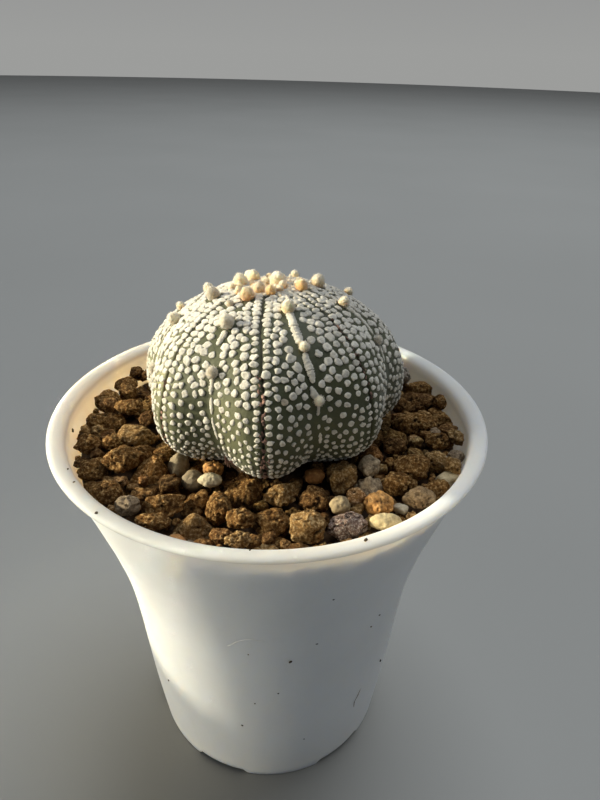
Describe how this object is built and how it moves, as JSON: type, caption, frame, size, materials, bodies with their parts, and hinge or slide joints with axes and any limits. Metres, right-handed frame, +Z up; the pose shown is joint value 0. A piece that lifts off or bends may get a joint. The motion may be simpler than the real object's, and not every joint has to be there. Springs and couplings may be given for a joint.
{
  "type": "potted star cactus",
  "caption": "Round ribbed star cactus with wool flecks and woolly areoles, seated in mixed akadama, pumice and pebbles in a flared white plastic pot with a rolled rim.",
  "frame": {"origin": "centre of the pot's foot ring, on the surface it stands on", "axes": "+Z up along the pot's axis; -Y is the side that the picture shows"},
  "size_m": [0.1, 0.1, 0.1253],
  "materials": {
    "pot_plastic": "satin moulded white plastic, faintly warm, with fine specks and light handling scratches",
    "cactus_skin": "matt grey-green living skin, dotted with raised white wool flecks, woolly areoles and brown corky furrows",
    "granule_mix": "fine dusty brown granule mix",
    "akadama_brown": "dusty fired-clay brown, rough and porous",
    "akadama_tan": "dusty light tan, rough and porous",
    "akadama_dark": "damp dark brown, rough",
    "pebble_golden": "smooth golden river pebble",
    "pebble_cream": "smooth cream to off-white pebble",
    "pumice_grey": "grey pumice with fine pores",
    "lava_plum": "dark plum-brown lava scoria with open pores"
  },
  "bodies": {
    "root": {"pot": "pot_plastic", "granule_bed": "granule_mix", "cactus_body": "cactus_skin", "akadama_granule_01": "akadama_brown", "akadama_granule_02": "akadama_brown", "akadama_granule_03": "akadama_brown", "akadama_granule_04": "akadama_dark", "akadama_granule_05": "akadama_tan", "akadama_granule_06": "akadama_brown", "akadama_granule_07": "akadama_brown", "akadama_granule_08": "akadama_brown", "akadama_granule_09": "akadama_brown", "akadama_granule_10": "akadama_brown", "pebble_01": "pebble_cream", "pebble_02": "pebble_cream", "pebble_03": "pebble_golden", "pebble_04": "pebble_cream", "akadama_granule_11": "akadama_brown", "pumice_granule_01": "pumice_grey", "akadama_granule_12": "akadama_brown", "akadama_granule_13": "akadama_brown", "akadama_granule_14": "akadama_brown", "akadama_granule_15": "akadama_tan", "akadama_granule_16": "akadama_brown", "akadama_granule_17": "akadama_brown", "akadama_granule_18": "akadama_brown", "akadama_granule_19": "akadama_tan", "akadama_granule_20": "akadama_tan", "akadama_granule_21": "akadama_brown", "akadama_granule_22": "akadama_tan", "akadama_granule_23": "akadama_dark", "pebble_05": "pebble_golden", "akadama_granule_24": "akadama_tan", "pumice_granule_02": "pumice_grey", "pebble_06": "pebble_cream", "akadama_granule_25": "akadama_brown", "akadama_granule_26": "akadama_brown", "pebble_07": "pebble_golden", "lava_granule_01": "lava_plum", "pebble_08": "pebble_cream", "pumice_granule_03": "pumice_grey", "akadama_granule_27": "akadama_brown", "akadama_granule_28": "akadama_brown", "akadama_granule_29": "akadama_tan", "akadama_granule_30": "akadama_dark", "akadama_granule_31": "akadama_dark", "akadama_granule_32": "akadama_brown", "akadama_granule_33": "akadama_dark", "akadama_granule_34": "akadama_brown", "akadama_granule_35": "akadama_dark", "akadama_granule_36": "akadama_brown", "akadama_granule_37": "akadama_tan", "akadama_granule_38": "akadama_brown", "pumice_granule_04": "pumice_grey", "akadama_granule_39": "akadama_dark", "pebble_09": "pebble_cream", "akadama_granule_40": "akadama_tan", "pumice_granule_05": "pumice_grey"}
  },
  "joints": []
}
